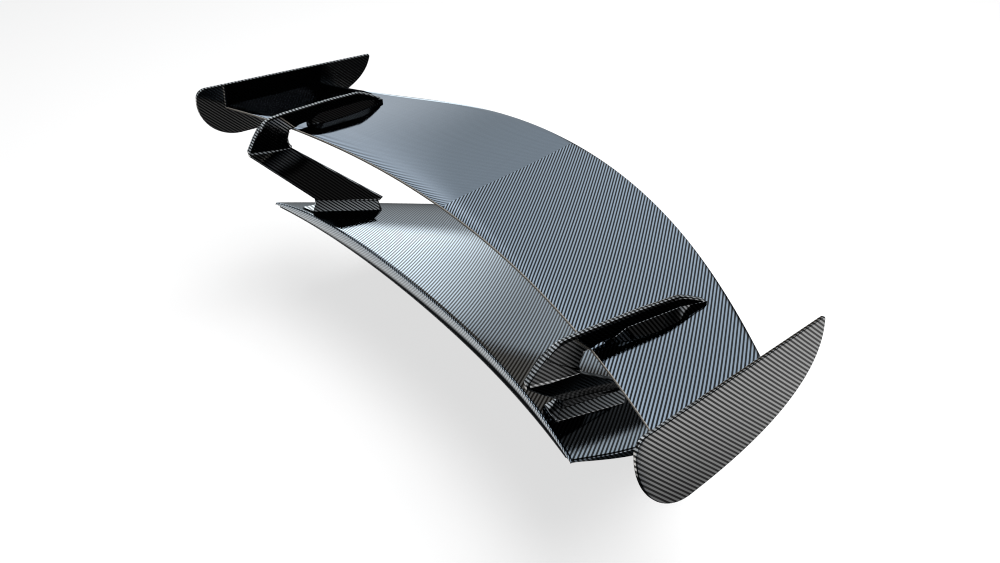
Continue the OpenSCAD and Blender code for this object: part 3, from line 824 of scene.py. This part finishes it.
# ---------------------------------------------------------------- stage
FLOOR_GAP = 0.09
FLOOR_HALF = 400  # so large that its edge merges with the backdrop
floor_z = cad_box[0][2] - FLOOR_GAP
fm, _, fsh = new_material("pale_floor")
fsh.inputs["Base Color"].default_value = (0.36, 0.36, 0.36, 1)
fsh.inputs["Emission Color"].default_value = (1, 1, 1, 1)
fsh.inputs["Emission Strength"].default_value = 0.70
fsh.inputs["Roughness"].default_value = 0.9
fsh.inputs["Specular IOR Level"].default_value = 0.0
floor_me = bpy.data.meshes.new("floor")
corners = [(-1, -1), (1, -1), (1, 1), (-1, 1)]
floor_verts = [(i * FLOOR_HALF, j * FLOOR_HALF, floor_z) for i, j in corners]
floor_me.from_pydata(floor_verts, [], [(0, 1, 2, 3)])
floor_me.materials.append(fm)
floor = bpy.data.objects.new("floor", floor_me)
bpy.context.scene.collection.objects.link(floor)
# The gloss reflects the studio around the floor, and not the floor itself.
floor.visible_glossy = False
floor.visible_diffuse = False


BACKDROP = (0.73, 0.73, 0.735)  # what the camera sees past the floor
AMBIENT = (0.08, 0.085, 0.09)   # what lights the rough surfaces
DEEP_RAY = 2.5                  # ray depth past which a reflection is dimmed
DEEP_TONE = (0.15, 0.15, 0.15)


def studio_world():
    world = bpy.data.worlds.new("studio")
    bpy.context.scene.world = world
    world.use_nodes = True
    nt = world.node_tree
    nt.nodes.clear()
    tc = nt.nodes.new("ShaderNodeTexCoord")
    sep = nt.nodes.new("ShaderNodeSeparateXYZ")
    nt.links.new(tc.outputs["Generated"], sep.inputs[0])
    deg = 180 / math.pi
    az = math_node(nt, "MULTIPLY", math_node(nt, "ARCTAN2", sep.outputs[0], sep.outputs[1]), deg)
    el = math_node(nt, "MULTIPLY", math_node(nt, "ARCSINE", sep.outputs[2]), deg)

    def step(v, at, soft):
        n = nt.nodes.new("ShaderNodeMapRange")
        n.interpolation_type = "SMOOTHSTEP"
        n.inputs["From Min"].default_value = at - soft
        n.inputs["From Max"].default_value = at + soft
        nt.links.new(v, n.inputs["Value"])
        return n.outputs[0]

    def window(v, lo, hi, soft_lo, soft_hi):
        return math_node(nt, "MULTIPLY", step(v, lo, soft_lo),
                         math_node(nt, "SUBTRACT", 1.0, step(v, hi, soft_hi)))

    # the plain surround, from the ground up to the ceiling
    ramp = nt.nodes.new("ShaderNodeValToRGB")
    stops = [(-90, 0.01), (-56, 0.008), (-30, 0.02), (-10, 0.3), (0, 0.45), (7, 0.45), (12, 0.45),
             (22, 0.45), (30, 0.5), (45, 0.58), (70, 0.6), (90, 0.5)]
    ramp.color_ramp.elements[0].position = 0
    ramp.color_ramp.elements[1].position = 1
    for k, (deg_el, v) in enumerate(stops):
        pos = (deg_el + 90) / 180
        if k == 0:
            e = ramp.color_ramp.elements[0]
        elif k == len(stops) - 1:
            e = ramp.color_ramp.elements[-1]
        else:
            e = ramp.color_ramp.elements.new(pos)
        e.color = (v * 0.93, v, v * 1.05, 1)
    nt.links.new(math_node(nt, "DIVIDE", math_node(nt, "ADD", el, 90.0), 180.0), ramp.inputs[0])
    col = ramp.outputs[0]
    # bright windows and dark screens: (azimuth from, to, softness at each), (elevation likewise), colour
    windows = [
        ((12, 92, 4, 8), (-9, 75, 3, 12), (0.014, 0.014, 0.014)),
        ((57, 74, 2, 4), (-62, -50, 3, 2), (0.045, 0.045, 0.045)),
        ((-150, -100, 8, 14), (14, 58, 6, 10), (0.05, 0.05, 0.052)),
        ((-90, -39, 8, 6), (-1.2, 6.8, 1.6, 0.8), (1.5, 1.64, 1.7)),
        ((-110, -57, 10, 3.5), (8, 44, 3, 6), (0.80, 0.84, 0.88)),
        ((-42, -3.5, 2, 1), (7.7, 25, 0.5, 5), (0.12, 0.105, 0.09)),
        ((-16, -3.5, 4, 1), (7.7, 27, 0.5, 3), (0.02, 0.02, 0.02)),
        ((10, 52.5, 6, 1.5), (-32, -14, 5, 4), (0.49, 0.49, 0.49)),
        ((20, 56, 5, 2), (-64, -52, 4, 0.8), (0.55, 0.55, 0.55)),
        ((-150, -108, 10, 8), (50, 72, 6, 6), (0.75, 0.84, 0.92)),
        ((56.5, 75, 1.5, 6), (-50, -37, 2.5, 3), (0.16, 0.16, 0.16)),
        ((52, 60, 1, 3), (-36, -25, 3, 3), (0.055, 0.065, 0.085)),
        ((-175, -105, 8, 10), (-60, -12, 8, 8), (0.8, 0.785, 0.76)),
    ]
    for (a0, a1, sa0, sa1), (e0, e1, se0, se1), c in windows:
        w = math_node(nt, "MULTIPLY", window(az, a0, a1, sa0, sa1), window(el, e0, e1, se0, se1))
        col = mix_color(nt, w, col, c)
    path = nt.nodes.new("ShaderNodeLightPath")
    # a reflection seen in another reflection is dim
    deep = math_node(nt, "GREATER_THAN", path.outputs["Ray Depth"], DEEP_RAY)
    col = mix_color(nt, deep, col, mix_color(nt, 1.0, col, DEEP_TONE, "MULTIPLY"))
    lighting = mix_color(nt, path.outputs["Is Glossy Ray"], AMBIENT, col)
    bg = nt.nodes.new("ShaderNodeBackground")
    nt.links.new(mix_color(nt, path.outputs["Is Camera Ray"], lighting, BACKDROP), bg.inputs[0])
    out = nt.nodes.new("ShaderNodeOutputWorld")
    nt.links.new(bg.outputs[0], out.inputs[0])


def softbox(name, direction, distance, size, power):
    light = bpy.data.lights.new(name, "AREA")
    light.shape = "RECTANGLE"
    light.size, light.size_y = size
    light.energy = power
    ob = bpy.data.objects.new(name, light)
    pos = Vector(direction).normalized() * distance
    ob.location = pos
    ob.rotation_euler = (-pos).to_track_quat("-Z", "Y").to_euler()
    bpy.context.scene.collection.objects.link(ob)
    ob.visible_glossy = False


studio_world()
softbox("overhead", (0.18, 0.30, 0.94), 3.6, (3.4, 3.4), 230)

# ---------------------------------------------------------------- camera, in metres and millimetres of lens
CAMERA_AT = (1.000, -0.685, 1.062)
RIGHT = Vector((0.6498, 0.7601, 0))
UP = Vector((-0.4839, 0.4136, 0.7712))
FORWARD = Vector((-0.5862, 0.5011, -0.6366))
cam = bpy.data.cameras.new("camera")
cam.lens = 29.07
cam.sensor_width = 36.0
cam.clip_end = 100
cam_ob = bpy.data.objects.new("camera", cam)
turn = Matrix((RIGHT, UP, -FORWARD)).transposed()
cam_ob.matrix_world = Matrix.Translation(CAMERA_AT) @ turn.to_4x4()
bpy.context.scene.collection.objects.link(cam_ob)
bpy.context.scene.camera = cam_ob
bpy.context.scene.view_settings.view_transform = "Standard"
bpy.context.scene.cycles.filter_width = 1.1
